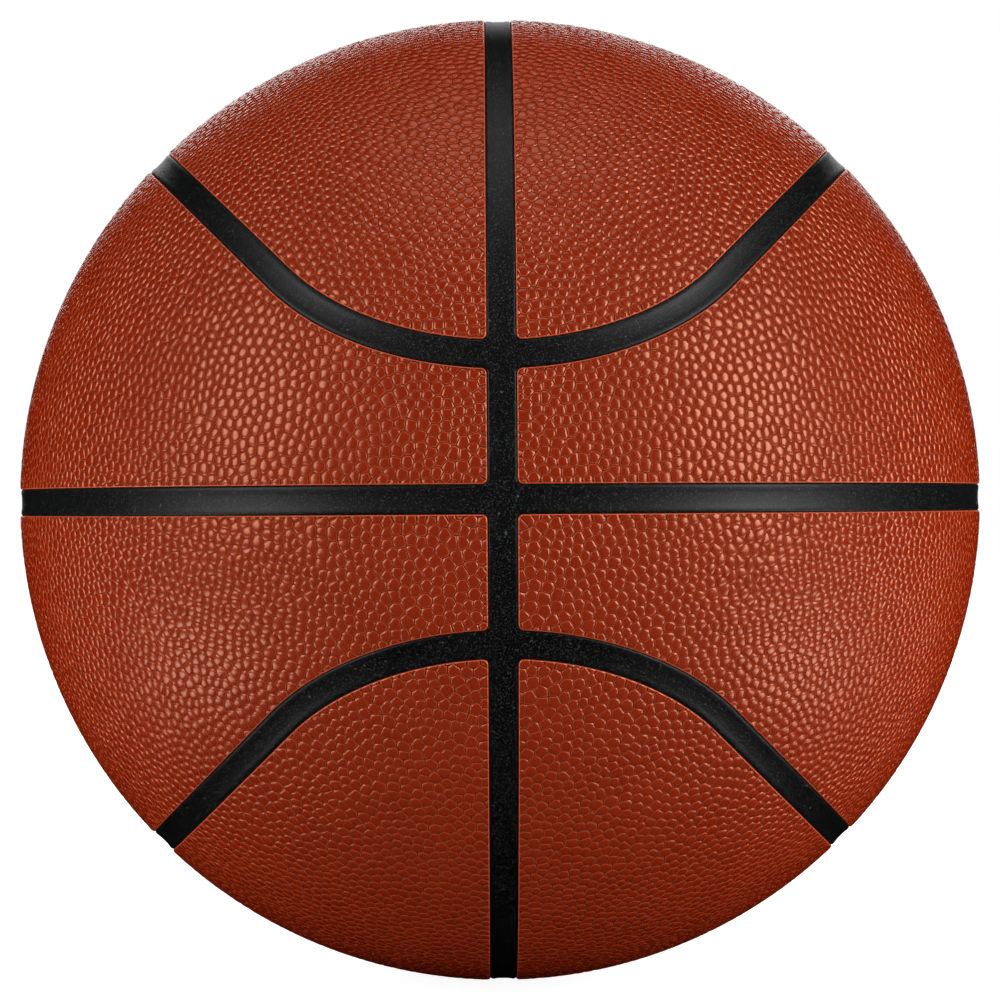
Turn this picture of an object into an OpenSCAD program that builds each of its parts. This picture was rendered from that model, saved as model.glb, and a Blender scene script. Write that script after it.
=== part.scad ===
// An inflatable basketball of the laminated kind: bladder, valve, winding,
// rubber carcass, channel strips, foam backings and eight cover panels.
// The origin is the ball's centre and Z is up. The middle channel lies in the
// XY plane, the upright channel in the YZ plane, and -Y is the front.

/* [Ball] */
// Outside diameter over the cover panels
ball_d = 240; // [180:1:260]
// Thickness of a cover panel
cover_t = 1.4; // [1:0.1:2]
// Thickness of the foam backing under a cover panel
backing_t = 1; // [0.6:0.1:2]
// Thickness of the moulded rubber carcass
carcass_t = 1.2; // [0.8:0.1:2]
// Thickness of the wound thread layer
winding_t = 0.6; // [0.3:0.1:1.2]
// Wall of the bladder
bladder_t = 0.8; // [0.5:0.1:1.5]

/* [Channels] */
// Width of a channel between two panels
channel_w = 6.3; // [4:0.1:7.5]
// Depth of a channel strip's edges below the cover's surface
strip_drop = 0.3; // [0.2:0.05:0.8]
// Depth of the groove along the top of a strip
groove_h = 0.2; // [0.1:0.05:0.4]
// Width of the lip at each side of the groove
lip_w = 1; // [0.6:0.1:1.4]
// Latitude at which a curved channel crosses the upright one
waist_angle = 15; // [11:0.5:18]

/* [Valve] */
// Angle of the valve round from the back towards the left side
valve_turn = 11; // [8:0.5:20]
// Angle of the valve above the middle channel
valve_rise = 8; // [7:0.5:9]
// Diameter of the valve housing's neck, which shows in the cover
neck_d = 9.6; // [8:0.1:12]
// Depth of the neck's top below the cover's surface
neck_drop = 0.5; // [0.3:0.1:1]
// Length of the valve housing, measured inwards from the neck's top
housing_l = 20; // [16:0.5:26]
// Diameter of the housing's flange, which is bonded to the bladder
flange_d = 30; // [24:1:40]
// Thickness of the flange at its rim
flange_t = 1.2; // [0.8:0.1:2]
// Diameter of the core's body, held in the housing
core_d = 5.6; // [5:0.1:6.4]
// Diameter of the collar that keeps the core in
collar_d = 6.8; // [6.6:0.1:7.4]
// Height of the collar
collar_h = 1.5; // [1:0.1:2.5]
// Depth of the collar's top below the neck's top
collar_drop = 8; // [6:0.5:9]
// Diameter of the outlet under the core
outlet_d = 3.2; // [2.6:0.1:4]
// Diameter of the core's head
head_d = 7.2; // [6.8:0.1:7.6]
// Height of the core's head
head_h = 1.6; // [1:0.1:2.4]
// Length of the core with its head
core_l = 15; // [12:0.5:15.5]
// Diameter of the needle hole through the core
needle_d = 2; // [1.6:0.1:2.4]
// Width of the lead-in at the mouth of the needle hole
lead_in = 0.5; // [0.3:0.1:0.8]

/* [Balance patch] */
// Diameter of the rubber patch that balances the valve
patch_d = 34; // [24:1:50]
// Thickness of the patch
patch_t = 1.1; // [0.8:0.1:2]
// Thickness of the cement that holds the patch and the valve's flange
cement_t = 0.05; // [0.02:0.01:0.1]

/* [Hidden] */

// Radii of the layers, from the outside in
ball_r = ball_d / 2;
cover_in_r = ball_r - cover_t;
backing_in_r = cover_in_r - backing_t;
carcass_in_r = backing_in_r - carcass_t;
winding_in_r = carcass_in_r - winding_t;
bladder_in_r = winding_in_r - bladder_t;
cement_r = bladder_in_r - cement_t;
strip_edge_r = ball_r - strip_drop;
groove_r = strip_edge_r - groove_h;
groove_w = channel_w - 2 * lip_w;

// A curved channel is four arcs that run into each other. Two lie in planes
// through the Y axis at 45 degrees, over the sides. Two are turns, at the
// front and the back: circles on the ball about a tilted axis, which touch
// those planes and cross the upright channel at the waist angle.
side_tilt = 45;
turn_tilt = atan(sin(waist_angle) / (cos(waist_angle) - cos(side_tilt)));
turn_angle = turn_tilt - waist_angle;
// Half of a turn's sweep
turn_sweep = asin(sin(turn_tilt) / sin(2 * turn_angle));
// Steps of that half sweep in an outline
turn_steps = 10;

// Overrun of the cuts past the surfaces that they cut
over = 2;
reach = ball_r + over;

$fn = 160;
round_fn = 64;

cover_colour = [0.60, 0.24, 0.11];
strip_colour = [0.08, 0.08, 0.08];
backing_colour = [0.85, 0.82, 0.72];
carcass_colour = [0.13, 0.13, 0.13];
winding_colour = [0.90, 0.90, 0.86];
bladder_colour = [0.20, 0.20, 0.21];
valve_colour = [0.05, 0.05, 0.05];

// A hollow ball
module shell(outer_r, inner_r) {
  difference() {
    sphere(r = outer_r);
    sphere(r = inner_r);
  }
}

// Puts a shape that points up its own Z axis at the valve, pointing outwards
module at_valve() {
  rotate([0, 0, valve_turn]) rotate([valve_rise, 0, 0]) rotate([-90, 0, 0]) children();
}

// A round length of the valve, between two heights up its axis
module valve_length(diameter, low, high) {
  at_valve() translate([0, 0, low]) cylinder(d = diameter, h = high - low, $fn = round_fn);
}

// The round hole that the valve's neck passes through
module neck_hole() {
  valve_length(neck_d, bladder_in_r - over, reach);
}

// Carries a shape of the upper right quarter to any quarter
module quarter(left, low) {
  mirror([left, 0, 0]) mirror([0, 0, low]) children();
}

// A point of a turn seen along Y, at a share of its half sweep. Offset is the
// distance on the ball from the channel's centre line, outwards from the turn.
function turn_point(share, offset) = let (
  radius_angle = turn_angle + asin(offset / ball_r)
) [
  ball_r * sin(radius_angle) * sin(share * turn_sweep),
  ball_r * (cos(radius_angle) * sin(turn_tilt)
    - sin(radius_angle) * cos(share * turn_sweep) * cos(turn_tilt)),
];

// The upper right edge line of a curved channel, from the front's middle out
// to the side: it leaves the turn along the 45 degree line
function edge_line(offset) = concat(
  [for (i = [0:turn_steps]) turn_point(i / turn_steps, offset)],
  [[2 * reach, 2 * reach - offset / cos(side_tilt)]]
);
function backwards(points) = [for (i = [len(points) - 1:-1:0]) points[i]];

// Outlines seen along Y, in the upper right quarter
module beside_upright(gap) {
  intersection() {
    translate([gap, 0]) square(2 * reach);
    children();
  }
}
module centre_outline() {
  beside_upright(channel_w / 2) difference() {
    polygon(concat([[0, 0], [2 * reach, 0]], backwards(edge_line(channel_w / 2))));
    square([2 * reach, channel_w / 2]);
  }
}
module end_outline() {
  beside_upright(channel_w / 2) polygon(concat([[0, 2 * reach]], edge_line(-channel_w / 2)));
}
module curved_band(width) {
  beside_upright(channel_w / 2) {
    polygon(concat(edge_line(-width / 2), backwards(edge_line(width / 2))));
  }
}
module middle_band(width) {
  square([2 * reach, width], center = true);
}
module half_band(width) {
  translate([channel_w / 2, -width / 2]) square([reach, width]);
}

// The part of a layer that lies inside an outline seen along Y
module cut_layer(outer_r, inner_r) {
  intersection() {
    shell(outer_r, inner_r);
    rotate([90, 0, 0]) linear_extrude(height = 2 * reach, center = true) children();
  }
}

// A strip between the carcass and the channel's floor, less its top groove
module grooved() {
  difference() {
    cut_layer(strip_edge_r, backing_in_r) children(0);
    cut_layer(reach, groove_r) children(1);
  }
}

module bladder() {
  color(bladder_colour) difference() {
    shell(winding_in_r, bladder_in_r);
    neck_hole();
  }
}

// Heights up the valve's axis, from the ball's centre
neck_top = ball_r - neck_drop;
flange_base = sqrt(bladder_in_r * bladder_in_r - flange_d * flange_d / 4) - flange_t;
collar_top = neck_top - collar_drop;

module valve_housing() {
  color(valve_colour) difference() {
    union() {
      intersection() {
        sphere(r = cement_r, $fn = 2 * $fn);
        valve_length(flange_d, flange_base, reach);
      }
      valve_length(neck_d, neck_top - housing_l, neck_top);
    }
    valve_length(head_d, neck_top - head_h, reach);
    valve_length(collar_d, collar_top - collar_h, collar_top);
    valve_length(core_d, neck_top - core_l, neck_top);
    valve_length(outlet_d, neck_top - housing_l - over, neck_top - core_l);
  }
}

module valve_core() {
  color(valve_colour) difference() {
    union() {
      valve_length(head_d, neck_top - head_h, neck_top);
      valve_length(collar_d, collar_top - collar_h, collar_top);
      valve_length(core_d, neck_top - core_l, neck_top);
    }
    valve_length(needle_d, neck_top - core_l - over, reach);
    at_valve() translate([0, 0, neck_top - lead_in]) {
      cylinder(d1 = needle_d, d2 = needle_d + 2 * lead_in, h = lead_in, $fn = round_fn);
    }
  }
}

// Bonded to the bladder's inside, straight across the ball from the valve
module balance_patch() {
  color(bladder_colour) intersection() {
    shell(cement_r, cement_r - patch_t);
    valve_length(patch_d, -reach, 0);
  }
}

module winding() {
  color(winding_colour) difference() {
    shell(carcass_in_r, winding_in_r);
    neck_hole();
  }
}

module carcass() {
  color(carcass_colour) difference() {
    shell(backing_in_r, carcass_in_r);
    neck_hole();
  }
}

// The strip round the middle is one ring, and the others are cut to butt on it
module equator_strip() {
  color(strip_colour) grooved() {
    middle_band(channel_w);
    middle_band(groove_w);
  }
}

// Half a ring that starts beside the middle strip, made level and then stood up
module meridian_strip() {
  color(strip_colour) rotate([0, -90, 0]) grooved() {
    half_band(channel_w);
    half_band(groove_w);
  }
}
module upper_meridian_strip() {
  quarter(0, 0) meridian_strip();
}
module lower_meridian_strip() {
  quarter(0, 1) meridian_strip();
}

module curved_strip() {
  color(strip_colour) grooved() {
    curved_band(channel_w);
    curved_band(groove_w);
  }
}
module upper_left_curved_strip() {
  quarter(1, 0) curved_strip();
}
module upper_right_curved_strip() {
  quarter(0, 0) curved_strip();
}
module lower_left_curved_strip() {
  quarter(1, 1) curved_strip();
}
module lower_right_curved_strip() {
  quarter(0, 1) curved_strip();
}

module centre_backing() {
  color(backing_colour) cut_layer(cover_in_r, backing_in_r) centre_outline();
}
module upper_left_centre_backing() {
  difference() {
    quarter(1, 0) centre_backing();
    neck_hole();
  }
}
module upper_right_centre_backing() {
  quarter(0, 0) centre_backing();
}
module lower_left_centre_backing() {
  quarter(1, 1) centre_backing();
}
module lower_right_centre_backing() {
  quarter(0, 1) centre_backing();
}

module end_backing() {
  color(backing_colour) cut_layer(cover_in_r, backing_in_r) end_outline();
}
module upper_left_end_backing() {
  quarter(1, 0) end_backing();
}
module upper_right_end_backing() {
  quarter(0, 0) end_backing();
}
module lower_left_end_backing() {
  quarter(1, 1) end_backing();
}
module lower_right_end_backing() {
  quarter(0, 1) end_backing();
}

module centre_panel() {
  color(cover_colour) cut_layer(ball_r, cover_in_r) centre_outline();
}
module upper_left_centre_panel() {
  difference() {
    quarter(1, 0) centre_panel();
    neck_hole();
  }
}
module upper_right_centre_panel() {
  quarter(0, 0) centre_panel();
}
module lower_left_centre_panel() {
  quarter(1, 1) centre_panel();
}
module lower_right_centre_panel() {
  quarter(0, 1) centre_panel();
}

module end_panel() {
  color(cover_colour) cut_layer(ball_r, cover_in_r) end_outline();
}
module upper_left_end_panel() {
  quarter(1, 0) end_panel();
}
module upper_right_end_panel() {
  quarter(0, 0) end_panel();
}
module lower_left_end_panel() {
  quarter(1, 1) end_panel();
}
module lower_right_end_panel() {
  quarter(0, 1) end_panel();
}

bladder();
valve_housing();
valve_core();
balance_patch();
winding();
carcass();
equator_strip();
upper_meridian_strip();
lower_meridian_strip();
upper_left_curved_strip();
upper_right_curved_strip();
lower_left_curved_strip();
lower_right_curved_strip();
upper_left_centre_backing();
upper_right_centre_backing();
lower_left_centre_backing();
lower_right_centre_backing();
upper_left_end_backing();
upper_right_end_backing();
lower_left_end_backing();
lower_right_end_backing();
upper_left_centre_panel();
upper_right_centre_panel();
lower_left_centre_panel();
lower_right_centre_panel();
upper_left_end_panel();
upper_right_end_panel();
lower_left_end_panel();
lower_right_end_panel();
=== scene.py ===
# %% [markdown]
# This lesson dresses a laminated basketball, seen from the front against white.
# Eight pebbled cover panels lie between black rubber channel strips, and the
# foam, the carcass, the winding and the bladder are under them. The CAD frame
# holds every layer at its real size. Each one gets its finish here, and the
# pieces that show are modelled again: the panels with every pebble, the strips
# and the valve.

# %% Load the frame
import math

import bmesh
import bpy
import numpy as np
from mathutils import Euler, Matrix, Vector


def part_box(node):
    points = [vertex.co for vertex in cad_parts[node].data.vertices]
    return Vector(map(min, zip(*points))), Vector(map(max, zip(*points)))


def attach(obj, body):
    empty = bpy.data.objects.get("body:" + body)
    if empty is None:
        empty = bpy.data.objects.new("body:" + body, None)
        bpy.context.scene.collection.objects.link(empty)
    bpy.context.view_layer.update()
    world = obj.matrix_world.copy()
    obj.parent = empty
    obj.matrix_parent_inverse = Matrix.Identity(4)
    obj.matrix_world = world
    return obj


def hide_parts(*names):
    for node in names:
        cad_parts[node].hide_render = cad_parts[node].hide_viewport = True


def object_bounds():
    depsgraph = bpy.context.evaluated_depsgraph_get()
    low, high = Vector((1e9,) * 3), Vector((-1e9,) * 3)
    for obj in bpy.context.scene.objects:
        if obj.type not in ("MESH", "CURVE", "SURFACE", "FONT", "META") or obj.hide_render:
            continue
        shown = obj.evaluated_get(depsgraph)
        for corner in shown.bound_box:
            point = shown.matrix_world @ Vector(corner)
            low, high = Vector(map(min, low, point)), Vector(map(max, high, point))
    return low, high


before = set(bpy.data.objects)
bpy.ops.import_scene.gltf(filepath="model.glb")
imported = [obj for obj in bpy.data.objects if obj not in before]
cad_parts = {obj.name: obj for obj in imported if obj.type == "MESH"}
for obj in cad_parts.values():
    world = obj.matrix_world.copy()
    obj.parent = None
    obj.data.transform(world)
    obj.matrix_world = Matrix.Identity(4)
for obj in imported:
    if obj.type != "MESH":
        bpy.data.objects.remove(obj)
cad_low, cad_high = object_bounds()
print("CAD box in mm:", [round(1000 * v, 2) for v in (*cad_low, *cad_high)])

# %% [markdown]
# New pieces have to fit the frame, so the sizes that they share are read from
# it and not typed again. A centre panel starts at the edges of the two straight
# channels, so its lowest corner gives half the channel's width, and its reach
# gives the ball's radius.

# %% Sizes from the frame
MM = 0.001
panel_low, panel_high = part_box("upper_right_centre_panel")
HALF_CHANNEL = panel_low.x
BALL_R = math.hypot(panel_high.x, panel_low.z)
BACKING_R = math.hypot(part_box("upper_right_centre_backing")[1].x, panel_low.z)
STRIP_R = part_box("equator_strip")[1].x
for name, size in {"ball": BALL_R, "backing": BACKING_R, "strip": STRIP_R}.items():
    print("radius of the", name, round(size / MM, 2), "mm")
print("half a channel", round(HALF_CHANNEL / MM, 2), "mm")

# %% [markdown]
# The curved channel is made of circles on the ball. At the front and the back
# it turns about a tilted axis, and over the sides it follows a plane through
# the Y axis at 45 degrees. One function gives the distance from its centre
# line, so panels and strips share the same edge. The ball is the same in all
# eight octants, so the function works in one of them.

# %% Distances from the channels
TURN_TILT = math.radians(45)
TURN_ANGLE = math.radians(30)
WAIST = TURN_TILT - TURN_ANGLE
FRONT_AXIS = np.array((0, -math.cos(TURN_TILT), math.sin(TURN_TILT)))
TO_BACK = np.array((1, -1, 1))
BACK_AXIS = FRONT_AXIS * TO_BACK


def unit(points):
    """The same directions, each with length 1."""
    return points / np.linalg.norm(points, axis=1)[:, None]


def curved_distance(points):
    """Distance from the curved channel's centre line, positive towards the ball's middle."""
    x, y, z = np.abs(unit(points)).T
    from_axis = np.arccos(np.clip(y * math.cos(TURN_TILT) + z * math.sin(TURN_TILT), -1, 1))
    turn = np.sin(from_axis - TURN_ANGLE)
    side = (x - z) / math.sqrt(2)
    return BALL_R * np.where(x - y + z < 0, turn, side)


def rounded_inside(distances, radius):
    """Distance from an outline, given those from its sides, with the corners rounded."""
    short = np.maximum(radius - np.array(distances), 0)
    return radius - np.sqrt((short ** 2).sum(axis=0))


print("the curved channel crosses the upright one at", round(math.degrees(WAIST), 1), "degrees")

# %% [markdown]
# The camera stands straight in front, six ball radii away, as for a picture of
# a product, and at one metre it sees HALF_VIEW metres to each side. The ball in
# the photograph isn't quite square to its camera. It stays put here, so the
# camera goes round it by those small angles.

# %% Camera
CAMERA_FAR = 6 * BALL_R
HALF_VIEW = 0.17607
SENSOR = 36
SWING, RISE, ROLL = -0.27, 0.09, 0.35
turn = (
    Euler((0, 0, math.radians(SWING))).to_matrix()
    @ Euler((math.radians(RISE), 0, 0)).to_matrix()
    @ Euler((0, math.radians(ROLL), 0)).to_matrix()
)
camera = bpy.data.objects.new("Camera", bpy.data.cameras.new("Camera"))
bpy.context.scene.collection.objects.link(camera)
camera.data.sensor_width = SENSOR
camera.data.lens = SENSOR / 2 / HALF_VIEW
upright = Euler((math.radians(90), 0, 0)).to_matrix()
camera.matrix_world = (turn @ upright).to_4x4()
camera.location = turn @ Vector((0, -CAMERA_FAR, 0))
bpy.context.scene.camera = camera
bpy.context.scene.view_settings.view_transform = "Standard"
print("lens", round(camera.data.lens, 1), "mm")

# %% [markdown]
# A finish is a small tree of shader nodes. Long trees are hard to read when
# each sum is a node by name, so a small class wraps a socket: sums on it add
# the Math nodes.


# %% Sums of sockets
class Wire:
    """An output socket that can be used in a sum."""

    def __init__(self, socket):
        self.socket = socket

    def maths(self, operation, first, second):
        """A Math node on two wires or numbers."""
        node = self.socket.id_data.nodes.new("ShaderNodeMath")
        node.operation = operation
        for slot, value in zip(node.inputs, (first, second)):
            if isinstance(value, Wire):
                self.socket.id_data.links.new(value.socket, slot)
            else:
                slot.default_value = value
        return Wire(node.outputs[0])

    def __add__(self, other):
        return self.maths("ADD", self, other)

    __radd__ = __add__

    def __sub__(self, other):
        return self.maths("SUBTRACT", self, other)

    def __rsub__(self, other):
        return self.maths("SUBTRACT", other, self)

    def __mul__(self, other):
        return self.maths("MULTIPLY", self, other)


# %% [markdown]
# All other nodes come from one method, and the ones that several finishes need
# have a short name of their own. Every pattern reads the point's own place on
# the piece in metres, so its lumps have a real size.


# %% Finishes
class Finish:
    """A material whose nodes are added one line at a time."""

    def __init__(self, name):
        self.material = bpy.data.materials.new(name)
        self.material.use_nodes = True
        self.tree = self.material.node_tree
        self.tree.nodes.clear()

    def add(self, kind, settings=None, inputs=None, out=0):
        """Adds a node: its settings first, then its sockets' values or links."""
        node = self.tree.nodes.new("ShaderNode" + kind)
        for key, value in (settings or {}).items():
            setattr(node, key, value)
        for key, value in (inputs or {}).items():
            if isinstance(value, Wire):
                self.tree.links.new(value.socket, node.inputs[key])
            else:
                node.inputs[key].default_value = value
        return Wire(node.outputs[out]) if node.outputs else None

    def blend(self, mask, first, second):
        """A colour between two, by a mask."""
        inputs = {0: mask, 6: first, 7: second}
        return self.add("Mix", {"data_type": "RGBA"}, inputs, out=2)

    def between(self, value, low, high):
        """0 below low, 1 above high, and a soft slope between."""
        inputs = {0: value, 1: low, 2: high}
        return self.add("MapRange", {"interpolation_type": "SMOOTHSTEP"}, inputs)

    def place(self):
        """The point's place on the piece."""
        return self.add("TexCoord", out="Object")

    def noise(self, size, detail=2.0, rough=0.5):
        """Soft noise whose lumps are about as wide as size."""
        inputs = {"Vector": self.place(), "Scale": 1 / size, "Detail": detail, "Roughness": rough}
        return self.add("TexNoise", {"normalize": True}, inputs)

    def radius(self):
        """Distance from the ball's centre."""
        return self.add("VectorMath", {"operation": "LENGTH"}, {0: self.place()}, out="Value")

    def attribute(self, name):
        """A value stored on the piece's points."""
        return self.add("Attribute", {"attribute_name": name}, out="Fac")

    def surface(self, height=None, depth=0.0, **values):
        """Ends the tree in one surface, with an optional relief that is depth high."""
        inputs = {key.replace("_", " "): value for key, value in values.items()}
        if height is not None:
            relief = {"Height": height, "Distance": depth, "Strength": 1.0}
            inputs["Normal"] = self.add("Bump", None, relief)
        shader = self.add("BsdfPrincipled", None, inputs)
        self.add("OutputMaterial", None, {"Surface": shader})
        return self.material


def srgb(red, green, blue):
    """A colour from its 0 to 255 values."""
    values = [v / 255 for v in (red, green, blue)]
    return (*[v / 12.92 if v < 0.04045 else ((v + 0.055) / 1.055) ** 2.4 for v in values], 1)


# %% [markdown]
# The ball is photographed against plain white. A white room would lay a pale
# veil over the satin leather, which the photograph doesn't have, so floor and
# world are white for the camera, give the leather soft light when they are
# met by its diffuse rays, and stay dark for its reflections. The ball has no
# metal or glass that would have to show them. The floor still takes the ball's
# shadow.

# %% Floor and world
FLOOR_SIZE = 12
FLOOR_GLOW = 0.92
FLOOR_SHADE = 0.5
FLOOR_BOUNCE = 0.85
AMBIENT = 0.67
bpy.ops.object.select_all(action="DESELECT")
bpy.ops.mesh.primitive_plane_add(size=FLOOR_SIZE, location=(0, 0, cad_low.z))
floor = bpy.context.object
floor.name = "floor"
bpy.ops.object.transform_apply(location=True)
floor_finish = Finish("Floor")
seen = floor_finish.add("LightPath", out="Is Camera Ray")
bounced = floor_finish.add("LightPath", out="Is Diffuse Ray")
floor_finish.surface(
    Base_Color=seen * FLOOR_SHADE + bounced * FLOOR_BOUNCE, Roughness=1.0, Specular_IOR_Level=0.0,
    Emission_Color=seen * FLOOR_GLOW, Emission_Strength=1.0,
)
floor.data.materials.append(floor_finish.material)

world = bpy.data.worlds.new("World")
bpy.context.scene.world = world
world.use_nodes = True
background = world.node_tree.nodes["Background"]
path = world.node_tree.nodes.new("ShaderNodeLightPath")
glow = Wire(path.outputs["Is Camera Ray"]) + Wire(path.outputs["Is Diffuse Ray"]) * AMBIENT
world.node_tree.links.new(glow.socket, background.inputs["Strength"])
background.inputs["Color"].default_value = (1, 1, 1, 1)
print("floor at", round(cad_low.z / MM, 1), "mm")


# %% [markdown]
# Two tall softboxes stand left and right, a little in front of the ball. They
# make the pale spots on the pebbles halfway to the sides, and the thin bright
# outlines in the middle. One more hangs overhead, and one behind lights the
# other side. Two small cards at the sides lie just above the floor and shine up,
# for the spots low down.

# %% Lamps
def softbox(name, azimuth, height, far, size, watts):
    """A soft lamp that faces the ball. Azimuth 0 is the camera's side, 90 is its right."""
    lamp = bpy.data.objects.new(name, bpy.data.lights.new(name, "AREA"))
    bpy.context.scene.collection.objects.link(lamp)
    lamp.data.shape = "RECTANGLE"
    lamp.data.size, lamp.data.size_y = size
    lamp.data.energy = watts
    angle = math.radians(azimuth)
    lamp.location = (far * math.sin(angle), -far * math.cos(angle), height)
    lamp.rotation_euler = (-lamp.location).to_track_quat("-Z", "Y").to_euler()
    print(name, watts, "W")
    return lamp


SIDE_BOX = (0.55, 1.05)
softbox("Left softbox", azimuth=-58, height=0.4, far=1.3, size=SIDE_BOX, watts=10.5)
softbox("Right softbox", azimuth=58, height=0.4, far=1.3, size=SIDE_BOX, watts=15)
softbox("Back softbox", azimuth=180, height=0.4, far=1.5, size=(1.2, 0.9), watts=10)
softbox("Overhead softbox", azimuth=0, height=1.4, far=0.2, size=(0.9, 0.9), watts=3.6)
CARD_RISE = 3 * MM
for name, azimuth, watts in (("Left card", -62, 0.2), ("Right card", 62, 0.25)):
    card = softbox(name, azimuth, cad_low.z + CARD_RISE, far=0.26, size=(0.12, 0.12), watts=watts)
    card.rotation_euler = (math.pi, 0, 0)


# %% [markdown]
# The panels have many thousands of faces, which are too many to pick by hand.
# These helpers read and set a mesh's points and faces all at once, as rows of
# numbers, so that faces can be selected by their place.

# %% Helpers for meshes
def coords(mesh):
    """A mesh's points as rows."""
    values = np.empty(len(mesh.vertices) * 3, np.float32)
    mesh.vertices.foreach_get("co", values)
    return values.reshape(-1, 3).astype(float)


def put(mesh, points):
    """Moves a mesh's points to these rows."""
    mesh.vertices.foreach_set("co", np.asarray(points, np.float32).ravel())
    mesh.update()


def face_rows(mesh, name):
    """One row of three per face, such as its center."""
    values = np.empty(len(mesh.polygons) * 3, np.float32)
    mesh.polygons.foreach_get(name, values)
    return values.reshape(-1, 3)


def point_values(mesh, name):
    """The values of an attribute, one per point."""
    values = np.empty(len(mesh.vertices), np.float32)
    mesh.attributes[name].data.foreach_get("value", values)
    return values


def loop_values(mesh):
    """For each corner of each face: its point, the next point, its edge and its face."""
    count = len(mesh.loops)
    points, edges = np.empty(count, np.int32), np.empty(count, np.int32)
    mesh.loops.foreach_get("vertex_index", points)
    mesh.loops.foreach_get("edge_index", edges)
    totals = np.empty(len(mesh.polygons), np.int32)
    mesh.polygons.foreach_get("loop_total", totals)
    ends = np.cumsum(totals)
    following = np.arange(1, count + 1)
    following[ends - 1] = ends - totals
    return points, points[following], edges, np.repeat(np.arange(len(totals)), totals)


# %% [markdown]
# Operators act on what is active and selected, so these helpers set that up:
# a fresh piece that is the only one selected, or a piece in edit mode with
# chosen faces.

# %% Helpers for operators
def mode(name):
    """Goes into edit mode or object mode."""
    bpy.ops.object.mode_set(mode=name)


def new_piece(name, mesh):
    """A piece made of this mesh, active and alone selected."""
    bpy.ops.object.select_all(action="DESELECT")
    piece = bpy.data.objects.new(name, mesh)
    bpy.context.scene.collection.objects.link(piece)
    bpy.context.view_layer.objects.active = piece
    piece.select_set(True)
    return piece


def edit_all(kind):
    """Goes into edit mode with all edges or faces selected."""
    mode("EDIT")
    bpy.ops.mesh.select_mode(type=kind)
    bpy.ops.mesh.select_all(action="SELECT")


def choose(mesh, faces):
    """Goes into edit mode with these faces selected, given a mask with one value per face."""
    mode("EDIT")
    bpy.ops.mesh.select_mode(type="FACE")
    bpy.ops.mesh.select_all(action="DESELECT")
    mode("OBJECT")
    mesh.polygons.foreach_set("select", faces)
    mode("EDIT")


def extrude():
    """Extrudes what is selected, in its place."""
    mode("EDIT")
    bpy.ops.mesh.extrude_region_move()
    mode("OBJECT")


def apply(piece, kind, **settings):
    """Adds a modifier and applies it."""
    modifier = piece.modifiers.new(kind, kind)
    for key, value in settings.items():
        setattr(modifier, key, value)
    bpy.ops.object.modifier_apply(modifier=modifier.name)


# %% [markdown]
# The real cover is pressed with pebbles that border on each other without
# rows, as the scales of a skin do. A pattern in the material would leave the
# ball's outline smooth, so every pebble is modelled. Each one starts as a cell:
# the part of the ball that is nearer to its own point than to any other. The
# hull of the points joins them into triangles, and the dual mesh of the hull
# turns each point into its cell. The hull operator rounds its points a little,
# so the few edges that dent inwards are turned.

# %% Cells round points
DENT = 1e-16


def turn_dents(mesh):
    """Turns every edge of a hull that dents inwards."""
    work = bmesh.new()
    work.from_mesh(mesh)
    waiting = list(work.edges)
    turned = 0
    while waiting:
        edge = waiting.pop()
        if not edge.is_valid:
            continue
        near, far = edge.link_faces
        corner = next(v for v in far.verts if v not in edge.verts)
        start, second, third = (v.co for v in near.verts)
        if (second - start).cross(third - start).dot(corner.co - start) > DENT:
            waiting.extend(e for face in (near, far) for e in face.edges if e is not edge)
            bmesh.utils.edge_rotate(edge, False)
            turned += 1
    work.to_mesh(mesh)
    work.free()
    mesh.update()
    print("edges turned", turned)


dual = bpy.data.node_groups.new("Dual", "GeometryNodeTree")
for way in ("INPUT", "OUTPUT"):
    dual.interface.new_socket("Geometry", in_out=way, socket_type="NodeSocketGeometry")
steps = [dual.nodes.new(kind) for kind in ("NodeGroupInput", "GeometryNodeDualMesh", "NodeGroupOutput")]
for first, second in zip(steps, steps[1:]):
    dual.links.new(first.outputs[0], second.inputs[0])


def cells_round_points(sheet):
    """Turns the points of a mesh into cells on the ball."""
    edit_all("VERT")
    bpy.ops.mesh.delete(type="EDGE_FACE")
    bpy.ops.mesh.select_all(action="SELECT")
    bpy.ops.mesh.convex_hull(join_triangles=False)
    mode("OBJECT")
    turn_dents(sheet.data)
    corners = face_rows(sheet.data, "normal") * BALL_R
    apply(sheet, "NODES", node_group=dual)
    put(sheet.data, corners)


# %% [markdown]
# The points come from a fine ball mesh: it is shaken, its faces are dropped,
# and points closer than the spacing are merged. That leaves them even but
# without rows. Moving each point to the middle of its cell, twice, makes the
# cells rounder, and merging the shortest edges takes out the odd corners.

# %% Scatter the cells
CELL_SPACING = 1.81 * MM
CELL_MERGE = 0.35 * MM
SHAKE = 2 * MM
SEED = 5
RELAXING = 2
START_LEVEL = 8

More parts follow.
